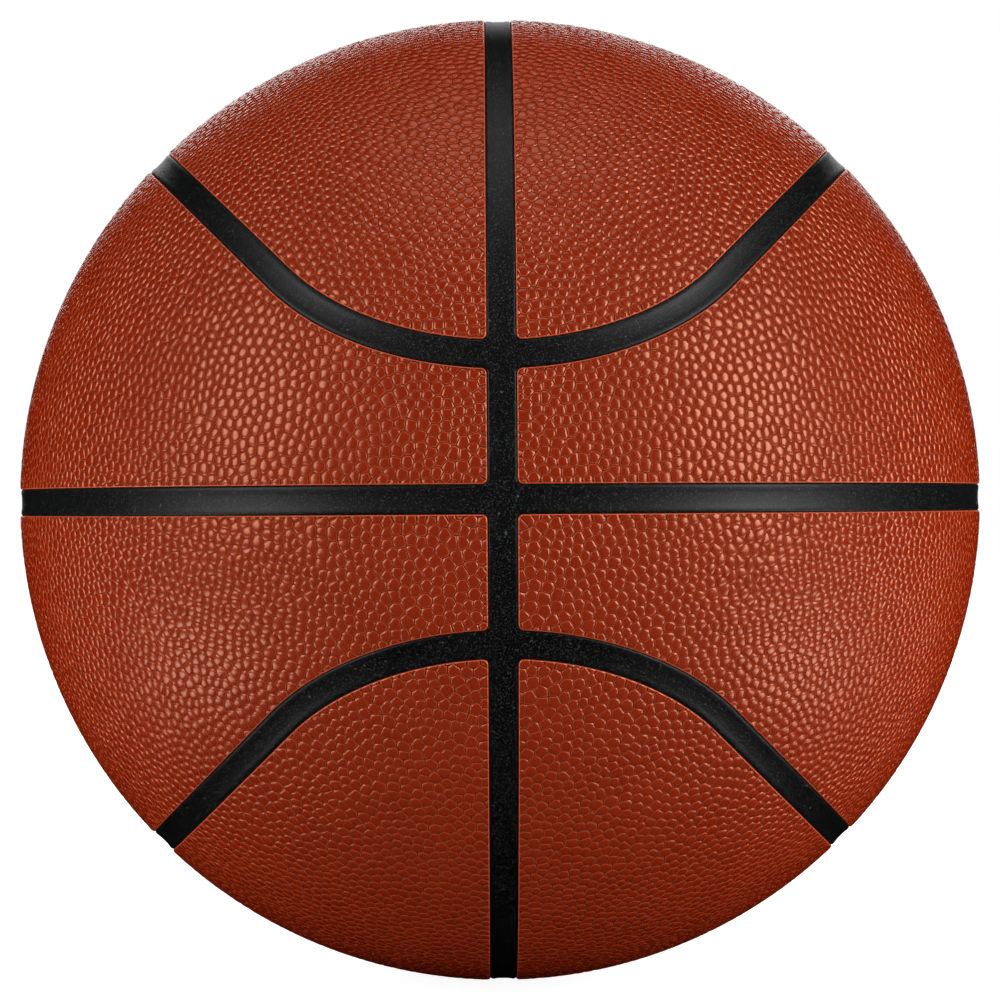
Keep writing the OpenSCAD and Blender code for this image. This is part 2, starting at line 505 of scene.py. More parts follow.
bpy.ops.object.select_all(action="DESELECT")
bpy.ops.mesh.primitive_ico_sphere_add(subdivisions=START_LEVEL, radius=BALL_R)
sheet = bpy.context.object
mode("EDIT")
bpy.ops.mesh.select_all(action="SELECT")
bpy.ops.transform.vertex_random(offset=SHAKE, uniform=1, normal=0, seed=SEED)
mode("OBJECT")
put(sheet.data, unit(coords(sheet.data)) * BALL_R)
mode("EDIT")
bpy.ops.mesh.delete(type="EDGE_FACE")
bpy.ops.mesh.select_all(action="SELECT")
bpy.ops.mesh.remove_doubles(threshold=CELL_SPACING)
mode("OBJECT")
for _ in range(RELAXING):
    cells_round_points(sheet)
    middles = face_rows(sheet.data, "center")
    sheet.data = bpy.data.meshes.new("Cells")
    sheet.data.from_pydata(unit(middles) * BALL_R, [], [])
cells_round_points(sheet)
mode("EDIT")
bpy.ops.mesh.select_all(action="SELECT")
bpy.ops.mesh.remove_doubles(threshold=CELL_MERGE)
mode("OBJECT")
cell_count = len(sheet.data.polygons)
cell_wide = math.sqrt(4 * math.pi / cell_count) * BALL_R
print(cell_count, "cells on the ball, about", round(cell_wide / MM, 2), "mm wide")

# %% [markdown]
# A cover panel is die-cut from a sheet. Here it is cut from a copy of the cells
# with planes, because every channel edge on the ball is a circle. The cut stops
# short of the panel's edge, which leaves room for the plain rim, where the
# leather turns down. Three more planes round off each corner. All panels mirror
# the upper right ones, so their planes are worked out there.

# %% Planes of a panel
RIM = 0.4 * MM
CORNER = 1.3 * MM
CORNER_PLANES = 3
NEAR = 5 * MM
OVERLAP = 0.5 * MM
CUT = HALF_CHANNEL + RIM
ALONG = math.asin(CUT / BALL_R)


def past_turn(x, y, z):
    """Above 0 where the curved channel has left its turn for the plane over the side."""
    return x - np.abs(y) + z


def side_planes(end_panel):
    """Planes along a panel's sides: where each one cuts, its normal and its offset."""
    way = 1 if end_panel else -1
    root = math.sqrt(0.5)
    turn_offset = way * BALL_R * math.cos(TURN_ANGLE - way * ALONG)
    planes = [
        (lambda x, y, z: x < 2 * CUT, (1, 0, 0), CUT),
        (lambda x, y, z: (past_turn(x, y, z) < OVERLAP) & (y < 0), way * FRONT_AXIS, turn_offset),
        (lambda x, y, z: (past_turn(x, y, z) < OVERLAP) & (y > 0), way * BACK_AXIS, turn_offset),
        (lambda x, y, z: past_turn(x, y, z) > -OVERLAP, (-way * root, 0, way * root), CUT),
    ]
    if not end_panel:
        planes.append((lambda x, y, z: z < 2 * CUT, (0, 0, 1), CUT))
    return planes


def panel_corners(end_panel):
    """A panel's corners at the front, each with the direction inwards along the upright channel."""
    way = 1 if end_panel else -1
    level_r = math.sqrt(BALL_R ** 2 - CUT ** 2)
    rise = TURN_TILT - math.acos(BALL_R * math.cos(TURN_ANGLE - way * ALONG) / level_r)
    point = np.array((CUT, -level_r * math.cos(rise), level_r * math.sin(rise)))
    inwards = FRONT_AXIS - FRONT_AXIS.dot(point) / BALL_R ** 2 * point
    corners = [(point, way * inwards / np.linalg.norm(inwards))]
    if not end_panel:
        point = np.array((CUT, -math.sqrt(BALL_R ** 2 - 2 * CUT ** 2), CUT))
        corners.append((point, np.array((0, 0, 1))))
    return corners


def corner_planes(end_panel):
    """Planes that round off a panel's corners, in the same form."""
    planes = []
    for point, inwards in panel_corners(end_panel):
        for flip in (np.ones(3), TO_BACK):
            for k in range(CORNER_PLANES):
                angle = math.pi / 2 * (k + 1) / (CORNER_PLANES + 1)
                normal = math.cos(angle) * np.array((1, 0, 0)) + math.sin(angle) * inwards
                normal /= np.linalg.norm(normal)
                reach = math.cos(angle) + math.sin(angle) - 1

                def close(x, y, z, place=point * flip):
                    return np.linalg.norm(np.stack((x, y, z)).T - place, axis=1) < NEAR

                planes.append((close, normal * flip, normal.dot(point) + (CORNER - RIM) * reach))
    return planes


# %% [markdown]
# The faces far outside the panel are deleted first, to save time. Each plane
# then cuts only the faces near its own side, and what lies past the outline
# goes. Cutting leaves some very short edges along the border, which are merged.

# %% Cutting a panel out of the cells
BORDER_MERGE = 0.12 * MM
ON_PLANE = 0.01 * MM


def mirrored(points, signs):
    """Points or directions of the upper right quarter, carried to another quarter or back."""
    return np.asarray(points) * (signs[0], 1, signs[1])


def inside_panel(points, end_panel, signs):
    """Distance inwards from a panel's outline."""
    x, _, z = mirrored(points, signs).T
    curved = curved_distance(points) * (-1 if end_panel else 1)
    return rounded_inside((x - HALF_CHANNEL, curved - HALF_CHANNEL, z - HALF_CHANNEL), CORNER)


def border_edges(mesh, near=None):
    """Goes into edit mode with the border's edges selected, or those where near holds."""
    _, _, edges, _ = loop_values(mesh)
    border = np.bincount(edges, minlength=len(mesh.edges)) == 1
    if near is not None:
        ends = np.empty(len(mesh.edges) * 2, np.int32)
        mesh.edges.foreach_get("vertices", ends)
        border &= near(coords(mesh)[ends.reshape(-1, 2)[:, 0]])
    mode("EDIT")
    bpy.ops.mesh.select_mode(type="EDGE")
    bpy.ops.mesh.select_all(action="DESELECT")
    mode("OBJECT")
    mesh.edges.foreach_set("select", border)
    mode("EDIT")
    bpy.ops.mesh.select_mode(type="EDGE")


def cut_panel(name, end_panel, signs):
    """A thin copy of the cells that lie in one panel."""
    panel = new_piece(name, sheet.data.copy())
    mesh = panel.data
    choose(mesh, inside_panel(face_rows(mesh, "center"), end_panel, signs) < -NEAR)
    bpy.ops.mesh.delete(type="FACE")
    mode("OBJECT")
    for cuts, normal, offset in side_planes(end_panel) + corner_planes(end_panel):
        choose(mesh, cuts(*mirrored(face_rows(mesh, "center"), signs).T))
        normal = mirrored(np.asarray(normal, float), signs)
        bpy.ops.mesh.bisect(plane_co=normal * offset, plane_no=normal, threshold=ON_PLANE)
        mode("OBJECT")
    choose(mesh, inside_panel(face_rows(mesh, "center"), end_panel, signs) < RIM)
    bpy.ops.mesh.delete(type="FACE")
    border_edges(mesh)
    bpy.ops.mesh.remove_doubles(threshold=BORDER_MERGE)
    mode("OBJECT")
    return panel


# %% [markdown]
# Round a real panel runs a plain rim, where the leather is skived and turned
# down. It is extruded from the border in a few steps, and each step moves out
# along the ball. The way out is known from the mesh itself: going round a face,
# it is to the right of a border edge. Before that, each border edge gets points
# beside the valleys, so that a pebble runs up to the rim at its full height, as
# a cut pebble does.

# %% Border and rim
BORDER_STEP = 0.42 * MM
SHORTEST_SPLIT = 2.5 * BORDER_STEP
RIM_STEPS = 3


def mark_border(mesh):
    """Splits the border's edges beside the valleys, and marks the new points as raised."""
    work = bmesh.new()
    work.from_mesh(mesh)
    for edge in [e for e in work.edges if e.is_boundary]:
        first, second = edge.verts
        length = edge.calc_length()
        if length > SHORTEST_SPLIT:
            _, near = bmesh.utils.edge_split(edge, first, BORDER_STEP / length)
            rest = next(e for e in near.link_edges if second in e.verts)
            bmesh.utils.edge_split(rest, second, BORDER_STEP / (length - BORDER_STEP))
        elif length > BORDER_STEP:
            bmesh.utils.edge_split(edge, first, 0.5)
    raised = work.verts.layers.float.new("raised")
    for point in work.verts:
        point[raised] = point.is_boundary and len(point.link_edges) == 2
    work.to_mesh(mesh)
    work.free()
    mesh.update()


def widen_border(mesh, distance):
    """Moves the border out along the ball."""
    points, following, edges, _ = loop_values(mesh)
    border = np.bincount(edges)[edges] == 1
    first, second = points[border], following[border]
    places = coords(mesh)
    out = unit(np.cross(places[second] - places[first], places[first]))
    total = np.zeros_like(places)
    np.add.at(total, first, out)
    np.add.at(total, second, out)
    moved = np.linalg.norm(total, axis=1) > 0
    total = total[moved]
    places[moved] += 2 * distance * total / (total ** 2).sum(axis=1)[:, None]
    put(mesh, unit(places) * BALL_R)


def add_rim(mesh):
    """Extrudes the plain rim from the border."""
    border_edges(mesh)
    mode("OBJECT")
    for _ in range(RIM_STEPS):
        extrude()
        widen_border(mesh, RIM / RIM_STEPS)


# %% [markdown]
# A pebble is raised from its cell by three insets, each one smaller, rounder
# and higher than the last, and a point in the middle. The valley is a narrow V,
# the shoulder is steep, and the top is a very low dome. That is what makes the
# thin bright outlines and the soft spots on real leather. No two real pebbles
# are alike, so each one leans a little and lies a little more or less deep.

# %% Shape of a pebble
VALLEY = 0.42 * MM
RINGS = ((0.14 * MM, 0.29 * MM, 0.65), (0.25 * MM, 0.1 * MM, 0.25), (0.33 * MM, 0.018 * MM, 0.1))
FULL_SIZE = 1.2 * MM
LEAN = 0.025
SUNK = 0.015 * MM
RAISED_DEPTH = 0.03 * MM
UNDERSIDE_R = BACKING_R + 0.03 * MM
RIM_PROFILE = ((0, 0.55), (0.13, 0.34), (0.26, 0.19), (0.4, 0.1), (0.7, 0.03), (1.2, 0))
NEAREST, FARTHEST = 0.3, 0.94
LEAST_AREA = 1e-15
chance = np.random.default_rng(SEED)


def profile_depth(profile, inside):
    """Depth below the ball's surface at a distance from an edge, from a profile in mm."""
    table = np.array(profile) * MM
    return np.interp(inside, table[:, 0], table[:, 1])


def cell_middles(places, points, following, faces):
    """Each face's centre by area, and how far its corners lie from it on average."""
    starts = np.searchsorted(faces, np.arange(faces[-1] + 1))
    corners = np.add.reduceat(np.ones(len(faces)), starts)[:, None]
    rough = (np.add.reduceat(places[points], starts) / corners)[faces]
    wedge = np.linalg.norm(np.cross(places[points] - rough, places[following] - rough), axis=1)
    wedge = wedge[:, None] + LEAST_AREA
    third = (places[points] + places[following] + rough) / 3
    centre = np.add.reduceat(third * wedge, starts) / np.add.reduceat(wedge, starts)
    reach = np.linalg.norm(places[points] - centre[faces], axis=1)
    return centre, np.add.reduceat(reach, starts) / corners[:, 0]


# %% [markdown]
# A panel's places and heights are kept apart while its rings are added: the
# places stay on the ball, where distances from the outline can be measured,
# and all points move out to their heights at the end. The inset operator only
# adds the new faces, so it insets by next to nothing. Their points are then
# placed between the cell's corners and its centre.


# %% Raising the pebbles
INSET = 1e-7
PEBBLE_SMOOTH = 75


class Pebbles:
    """The pebbles of one panel while they are raised."""

    def __init__(self, panel, inside, cell_count):
        """Gives the panel its thickness, and measures its cells."""
        self.mesh, self.inside = panel.data, inside
        flat = len(self.mesh.vertices)
        apply(panel, "SOLIDIFY", thickness=BALL_R - UNDERSIDE_R, offset=-1)
        assert len(self.mesh.vertices) == 2 * flat
        self.places = coords(self.mesh)
        edge_gap = inside(self.places)
        raised = point_values(self.mesh, "raised")
        depth = (VALLEY * (1 - raised) + RAISED_DEPTH * raised) * np.clip(edge_gap / RIM, 0, 1)
        top = BALL_R - profile_depth(RIM_PROFILE, edge_gap) - depth
        self.height = np.where(np.arange(len(self.places)) < flat, top, UNDERSIDE_R)
        self.cells = np.arange(len(self.mesh.polygons)) < cell_count
        points, following, _, faces = loop_values(self.mesh)
        self.centre, reach = cell_middles(self.places, points, following, faces)
        self.size = np.clip(reach / FULL_SIZE, 0, 1)
        self.lean = chance.normal(0, LEAN, (len(self.cells), 3))
        self.sunk = SUNK * (1 + chance.random(len(self.cells)))
        choose(self.mesh, self.cells)
        mode("OBJECT")

    def add_ring(self, shrink, ring_depth, keep):
        """Insets every cell once more, and puts the new ring at its place and height."""
        before = len(self.mesh.vertices)
        mode("EDIT")
        bpy.ops.mesh.inset(thickness=INSET, use_individual=True)
        mode("OBJECT")
        added = len(self.mesh.vertices) - before
        self.places = np.vstack((self.places, np.zeros((added, 3))))
        self.height = np.concatenate((self.height, np.zeros(added)))
        points, _, _, faces = loop_values(self.mesh)
        mine = (faces < len(self.cells)) & (points >= before)
        points, faces = points[mine], faces[mine]
        arm = coords(self.mesh)[points] - self.centre[faces]
        far = np.linalg.norm(arm, axis=1)
        counts = np.maximum(np.bincount(faces, minlength=len(self.cells)), 1)
        mean_far = np.bincount(faces, far, len(self.cells)) / counts
        near = far * keep + mean_far[faces] * (1 - keep) - shrink * self.size[faces]
        near = np.clip(near, NEAREST * far, FARTHEST * far)
        self.places[points] = self.centre[faces] + arm * (near / far)[:, None]
        put(self.mesh, self.places)
        own = self.sunk[faces] - (self.lean[faces] * arm).sum(axis=1)
        depth = VALLEY + (ring_depth - VALLEY) * self.size[faces] + (1 - ring_depth / VALLEY) * own
        raised = point_values(self.mesh, "raised")[points]
        depth = np.maximum(depth * (1 - raised) + RAISED_DEPTH * raised, 0)
        drop = profile_depth(RIM_PROFILE, self.inside(self.places[points]))
        self.height[points] = BALL_R - drop - depth

    def crown(self):
        """Adds the pebbles' middle points, and moves all points out to their heights."""
        before = len(self.mesh.vertices)
        mode("EDIT")
        bpy.ops.mesh.poke()
        mode("OBJECT")
        places = coords(self.mesh)
        tops = BALL_R - profile_depth(RIM_PROFILE, self.inside(places[before:]))
        tops = tops - VALLEY * (1 - self.size[self.cells]) - self.sunk[self.cells]
        put(self.mesh, unit(places) * np.concatenate((self.height, tops))[:, None])
        gaps = self.inside(places).astype(np.float32)
        self.mesh.attributes.new("edge_gap", "FLOAT", "POINT").data.foreach_set("value", gaps)


def raise_pebbles(panel, inside, cell_count):
    """Gives a thin panel its thickness, its rim and its pebbles."""
    pebbles = Pebbles(panel, inside, cell_count)
    for shrink, ring_depth, keep in RINGS:
        pebbles.add_ring(shrink, ring_depth, keep)
    pebbles.crown()
    edit_all("FACE")
    bpy.ops.mesh.quads_convert_to_tris(quad_method="BEAUTY", ngon_method="BEAUTY")
    mode("OBJECT")
    bpy.ops.object.shade_smooth_by_angle(angle=math.radians(PEBBLE_SMOOTH))
    print(panel.name, cell_count, "pebbles,", len(panel.data.polygons), "triangles")


# %% [markdown]
# The valve comes up through a round hole in one panel, at the back. No pebble
# is cut by it: a plain flat land lies round the hole. So the cells there are
# taken out, and the border of the gap is extruded inwards to a circle.

# %% The hole for the valve
VALVE_PIECE = "upper_left_centre"
VALVE_RISE = math.radians(8)
VALVE_TURN = math.radians(11)
VALVE_AXIS = Vector((0, 1, 0))
VALVE_AXIS.rotate(Euler((VALVE_RISE, 0, 0)))
VALVE_AXIS.rotate(Euler((0, 0, VALVE_TURN)))
NECK_R = 4.8 * MM
LAND = 1.5 * MM


def from_valve(points):
    """Distance of each point from the valve's axis."""
    across = np.linalg.norm(np.cross(points, VALVE_AXIS), axis=1)
    return np.where(points @ np.array(VALVE_AXIS) > 0, across, BALL_R)


def by_the_hole(points):
    """Whether each point is near the hole."""
    return from_valve(points) < NECK_R + 3 * LAND


def open_hole(mesh):
    """Leaves out the cells at the valve, and closes the gap with the land. Gives the cells left."""
    choose(mesh, from_valve(face_rows(mesh, "center")) < NECK_R + LAND)
    bpy.ops.mesh.delete(type="FACE")
    border_edges(mesh, by_the_hole)
    bpy.ops.mesh.subdivide(number_cuts=2)
    mode("OBJECT")
    border_edges(mesh, by_the_hole)
    mode("OBJECT")
    before, cells = len(mesh.vertices), len(mesh.polygons)
    extrude()
    places = coords(mesh)
    axis = np.array(VALVE_AXIS)
    spokes = places[before:] - (places[before:] @ axis)[:, None] * axis
    ring_r = NECK_R + RIM
    places[before:] = unit(spokes) * ring_r + axis * math.sqrt(BALL_R ** 2 - ring_r ** 2)
    put(mesh, places)
    values = point_values(mesh, "raised")
    values[before:] = 1
    mesh.attributes["raised"].data.foreach_set("value", values)
    return cells


# %% [markdown]
# Eight panels make the cover: a centre panel and an end panel in each quarter.
# Each one is cut from its own part of the same cells, so no two are copies, and
# the pebbles run on across the channels.

# %% The eight panels
def make_panel(name, end_panel, signs):
    """Makes one panel and puts it in the place of the plain one in the frame."""
    holed = name == VALVE_PIECE

    def inside(points):
        gap = inside_panel(points, end_panel, signs)
        return np.minimum(gap, from_valve(points) - NECK_R) if holed else gap

    panel = cut_panel(name + "_leather", end_panel, signs)
    mark_border(panel.data)
    cell_count = open_hole(panel.data) if holed else len(panel.data.polygons)
    add_rim(panel.data)
    raise_pebbles(panel, inside, cell_count)
    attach(panel, "root")
    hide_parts(name + "_panel")
    return panel


panels = []
for half, z_sign in (("upper", 1), ("lower", -1)):
    for flank, x_sign in (("left", -1), ("right", 1)):
        for kind in ("centre", "end"):
            panels.append(make_panel(f"{half}_{flank}_{kind}", kind == "end", (x_sign, z_sign)))
bpy.data.objects.remove(sheet)
print("triangles in the cover:", sum(len(panel.data.polygons) for panel in panels))

# %% [markdown]
# The channel strips are moulded rubber, almost flush with the cover, with a
# low lip along each panel and a shallow groove between the lips. A strip is one
# flat profile, spun along its channel, and the height of its top then depends
# on the distance from the nearest panel. So the lips go round the panels'
# corners, and the grooves join where channels cross, as on the real ball. The
# steps of the spin are fine there and long elsewhere.

# %% A strip's shape
STRIP_PROFILE = (
    (0, 0.6), (0.25, 0.36), (0.5, 0.31), (0.9, 0.31), (1.5, 0.43), (2.1, 0.49), (3.15, 0.5),
)
STRIP_COLUMNS = (0, 0.25, 0.5, 0.9, 1.5, 2.1)
STRIP_ROOT = 1 * MM
STEP = 1.5 * MM
FINE_STEP = 0.35 * MM
CROSSING = 3.6
TOP_SLACK = 0.5 * MM
WELD = 0.01 * MM
STRIP_SMOOTH = 50
strips = []


def panel_gap(points):
    """Distance of each point from the nearest panel."""
    x, _, z = np.abs(unit(points)).T * BALL_R
    curved = np.abs(curved_distance(points))
    return -rounded_inside((x - HALF_CHANNEL, z - HALF_CHANNEL, curved - HALF_CHANNEL), CORNER)


def start_strip(name, centre, across):
    """A strip's closed profile at a point of the ball, selected in edit mode."""
    half = HALF_CHANNEL / MM
    offsets = [c - half for c in STRIP_COLUMNS] + [0] + [half - c for c in reversed(STRIP_COLUMNS)]
    rows = [(offset * MM / BALL_R, STRIP_R) for offset in offsets]
    rows += [(side * HALF_CHANNEL / BALL_R, UNDERSIDE_R - STRIP_ROOT) for side in (1, -1)]
    centre, across = Vector(centre), Vector(across)
    points = [r * (centre * math.sqrt(1 - sine ** 2) + across * sine) for sine, r in rows]
    mesh = bpy.data.meshes.new(name)
    mesh.from_pydata(points, [(k, (k + 1) % len(points)) for k in range(len(points))], [])
    strip = new_piece(name, mesh)
    edit_all("EDGE")
    return strip


def spin(axis, degrees, step=STEP):
    """Spins the selected profile on, counterclockwise about an axis through the ball's centre."""
    angle = math.radians(degrees)
    steps = max(1, round(angle * BALL_R / step))
    bpy.ops.mesh.spin(steps=steps, angle=-angle, center=(0, 0, 0), axis=axis)


def shape_strip(strip, closed=False):
    """Closes a spun strip, and gives its top the lips and the groove."""
    bpy.ops.mesh.select_all(action="SELECT")
    bpy.ops.mesh.remove_doubles(threshold=WELD)
    if not closed:
        bpy.ops.mesh.select_all(action="DESELECT")
        bpy.ops.mesh.select_non_manifold()
        bpy.ops.mesh.fill_holes(sides=0)
    bpy.ops.mesh.select_all(action="SELECT")
    bpy.ops.mesh.normals_make_consistent(inside=False)
    mode("OBJECT")
    places = coords(strip.data)
    radius = np.linalg.norm(places, axis=1)
    top = radius > STRIP_R - TOP_SLACK
    radius[top] = BALL_R - profile_depth(STRIP_PROFILE, panel_gap(places))[top]
    put(strip.data, unit(places) * radius[:, None])
    bpy.ops.object.shade_smooth_by_angle(angle=math.radians(STRIP_SMOOTH))


def stand_in(strip, node):
    """Puts a strip in the place of the plain one in the frame."""
    strips.append(strip)
    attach(strip, "root")
    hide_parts(node)
    print(strip.name, len(strip.data.polygons), "faces")


# %% [markdown]
# The level strip is one ring, and the two upright ones are half rings that end
# at its edges. The upright ones cross the curved channel at the front and the
# back, and are spun past both crossings.

# %% Straight strips
level = start_strip("equator_rubber", (1, 0, 0), (0, 0, 1))
for _ in ("front", "back"):
    spin((0, 0, 1), 90 - CROSSING)
    spin((0, 0, 1), 2 * CROSSING, FINE_STEP)
    spin((0, 0, 1), 90 - CROSSING)
shape_strip(level, closed=True)
stand_in(level, "equator_strip")

edge_rise = math.asin(HALF_CHANNEL / BALL_R)
to_crossing = math.degrees(WAIST) - math.degrees(edge_rise) - 2 * CROSSING
over_the_end = 180 - 2 * math.degrees(WAIST) - 2 * CROSSING
way_up = [(CROSSING, FINE_STEP), (to_crossing, STEP), (2 * CROSSING, FINE_STEP)]
for half, z_sign in (("upper", 1), ("lower", -1)):
    start = (0, -math.cos(edge_rise), z_sign * math.sin(edge_rise))
    upright = start_strip(half + "_meridian_rubber", start, (1, 0, 0))
    for degrees, step in [*way_up, (over_the_end, STEP), *reversed(way_up)]:
        spin((-z_sign, 0, 0), degrees, step)
    shape_strip(upright)
    stand_in(upright, half + "_meridian_strip")

# %% [markdown]
# A curved strip follows its channel from the front to the back: half a turn
# about the front axis, the way over the side, and half a turn about the back
# axis. One is modelled, cut off beside the upright strip, and mirrored for the
# other three. A mesh mirrored once is inside out, so its faces are flipped.

# %% Curved strips
HALF_TURN = math.degrees(math.acos(1 / math.sqrt(3)))
START_SLACK = 0.2 * MM
curved = start_strip(
    "upper_right_curved_rubber",
    (0, -math.cos(WAIST), math.sin(WAIST)),
    (0, -math.sin(WAIST), -math.cos(WAIST)),
)
spin(FRONT_AXIS, 2 * CROSSING, FINE_STEP)
spin(FRONT_AXIS, HALF_TURN - 2 * CROSSING)
spin((-1, 0, 1), 2 * HALF_TURN)
spin(BACK_AXIS, HALF_TURN - 2 * CROSSING)
spin(BACK_AXIS, 2 * CROSSING, FINE_STEP)
bpy.ops.mesh.select_all(action="SELECT")
side = HALF_CHANNEL * (STRIP_R - START_SLACK) / BALL_R
bpy.ops.mesh.bisect(plane_co=(side, 0, 0), plane_no=(1, 0, 0), clear_inner=True)
shape_strip(curved)
plain = coords(curved.data)
for half, z_sign in (("upper", 1), ("lower", -1)):
    for flank, x_sign in (("left", -1), ("right", 1)):
        strip = curved
        if (x_sign, z_sign) != (1, 1):
            strip = new_piece(f"{half}_{flank}_curved_rubber", curved.data.copy())
            put(strip.data, plain * (x_sign, 1, z_sign))
            if x_sign * z_sign < 0:
                strip.data.flip_normals()
        stand_in(strip, f"{half}_{flank}_curved_strip")

# %% [markdown]
# The valve is two turned pieces of rubber. The housing is bonded into the
# bladder by its flange and comes up through all the layers. The core is pushed
# into it, and the needle goes through the core. Each one is a profile of radius
# and height along the valve's axis, spun round it, with the collar that keeps
# the core in and the small roundings that catch the light.

# %% Turned pieces
TURN_STEPS = 96
VALVE_SMOOTH = 35


def turned(name, profile, node):
    """Spins a profile of radius and height in mm round the valve's axis."""
    mesh = bpy.data.meshes.new(name)
    points = [(x * MM, 0, z * MM) for x, z in profile]
    mesh.from_pydata(points, [(k, (k + 1) % len(points)) for k in range(len(points))], [])
    piece = new_piece(name, mesh)
    edit_all("EDGE")
    bpy.ops.mesh.spin(steps=TURN_STEPS, angle=2 * math.pi, center=(0, 0, 0), axis=(0, 0, 1))
    bpy.ops.mesh.select_all(action="SELECT")
    bpy.ops.mesh.remove_doubles(threshold=WELD)
    bpy.ops.mesh.normals_make_consistent(inside=False)
    mode("OBJECT")
    mesh.transform(VALVE_AXIS.to_track_quat("Z", "Y").to_matrix().to_4x4())
    bpy.ops.object.shade_smooth_by_angle(angle=math.radians(VALVE_SMOOTH))
    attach(piece, "root")
    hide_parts(node)
    print(name, len(mesh.polygons), "faces")
    return piece


# %% [markdown]
# The sizes are in mm, and heights count from the neck's top, half a millimetre
# below the leather. The core is a hair smaller than its hole all round, so that
# no two faces share a place.

# %% Valve
neck_drop = 0.5
neck_r, hole_r, outlet_r, needle_r = NECK_R / MM, 2.8, 1.6, 1
housing_long, core_long = 20, 15
flange_r, flange_thick, flange_outside_r, flange_seat_r = 15, 1.2, 114.95, 115
head_r, head_deep = 3.6, 1.6
collar_r, collar_top, collar_end = 3.4, 8, 9.5
snug = 0.01
top = BALL_R / MM - neck_drop
flange_top = [(r, math.sqrt(flange_outside_r ** 2 - r ** 2)) for r in (flange_r, 12, 9, 6, neck_r)]
flange_base = math.sqrt(flange_seat_r ** 2 - flange_r ** 2) - flange_thick
housing = turned("valve_neck", [
    (outlet_r, top - housing_long), (neck_r, top - housing_long), (neck_r, flange_base),
    (flange_r, flange_base), *flange_top,
    (neck_r, top - 0.35), (neck_r - 0.1, top - 0.12), (neck_r - 0.35, top),
    (head_r + 0.25, top), (head_r + 0.08, top - 0.08), (head_r, top - 0.25),
    (head_r, top - head_deep), (hole_r, top - head_deep), (hole_r, top - collar_top),
    (collar_r, top - collar_top), (collar_r, top - collar_end), (hole_r, top - collar_end),
    (hole_r, top - core_long), (outlet_r, top - core_long),
], "valve_housing")
core = turned("valve_plug", [
    (needle_r, top - core_long), (hole_r - snug, top - core_long),
    (hole_r - snug, top - collar_end + snug), (collar_r - snug, top - collar_end + snug),
    (collar_r - snug, top - collar_top - snug), (hole_r - snug, top - collar_top - snug),
    (hole_r - snug, top - head_deep + snug), (head_r - 2 * snug, top - head_deep + snug),
    (head_r - 2 * snug, top - 0.3), (head_r - 0.1, top - 0.12), (head_r - 0.3, top - 0.05),
    (needle_r + 0.7, top - 0.05), (needle_r + 0.45, top - 0.1), (needle_r + 0.1, top - 0.45),
    (needle_r, top - 0.7),
], "valve_core")

# %% [markdown]
# The cover is composite leather with a satin coat. The tops of the pebbles are
# brown, with a tone that differs at random. The shoulders are painted lighter,
# a painted highlight, and the valleys are painted dark, painted shade, and are
# dull, so the colour follows the height, which is the distance from the ball's
# centre. The edge_gap attribute marks the rim, painted lighter as a painted
# highlight, and the cut wall below it, painted black: partly the dark edge of
# the panel, partly painted shade of the gap beside the strip. The coat's
# reflections are warm, hence the tint.

# %% Cover finish
SHOULDER_LOW, SHOULDER_HIGH = 0.34 * MM, 0.26 * MM
CROWN_LOW, CROWN_HIGH = 0.24 * MM, 0.16 * MM
RIM_START, RIM_END = 0.26 * MM, 0.4 * MM
WALL_START, WALL_END = 0.1 * MM, 0.18 * MM
TONE_SIZE = 9 * MM
GRAIN_SIZE = 0.35 * MM
GRAIN_DEPTH = 0.006 * MM
DULL, SATIN = 0.8, 0.26
cover = Finish("Pebbled cover")
radius = cover.radius()
crown_colour = cover.blend(cover.noise(TONE_SIZE, 3), srgb(107, 19, 0), srgb(121, 28, 0))
risen = cover.between(radius, BALL_R - SHOULDER_LOW, BALL_R - SHOULDER_HIGH)
crowned = cover.between(radius, BALL_R - CROWN_LOW, BALL_R - CROWN_HIGH)
# Painted highlight: the shoulders below the crown get a lighter peach colour.
pebble = cover.blend(crowned, srgb(170, 60, 22), crown_colour)
# Painted shade: the valleys below the shoulders get a dark red.
leather = cover.blend(risen, srgb(72, 3, 0), pebble)
gap = cover.attribute("edge_gap")
# Painted highlight: the rim along the panel's edge gets a lighter colour.
leather = cover.blend(cover.between(gap, RIM_START, RIM_END), srgb(176, 64, 32), leather)
# The cut wall gets near-black: partly the dark edge of the panel, partly painted shade of the gap
# beside the strip.
colour = cover.blend(cover.between(gap, WALL_START, WALL_END), srgb(14, 10, 9), leather)
cover_material = cover.surface(
    height=cover.noise(GRAIN_SIZE, 2), depth=GRAIN_DEPTH, Base_Color=colour, IOR=1.8,
    Roughness=DULL - risen * (DULL - SATIN), Specular_Tint=(1, 0.5, 0.3, 1),
)
for panel in panels:
    panel.data.materials.append(cover_material)
print("cover finish on", len(panels), "panels")

# %% [markdown]
# The strips are black rubber with a fine grain. Play leaves pale specks in the
# grain, larger scuffs and a little dust, so the black is mixed with greys by
# three noises of different sizes, and the scuffs are pressed in.

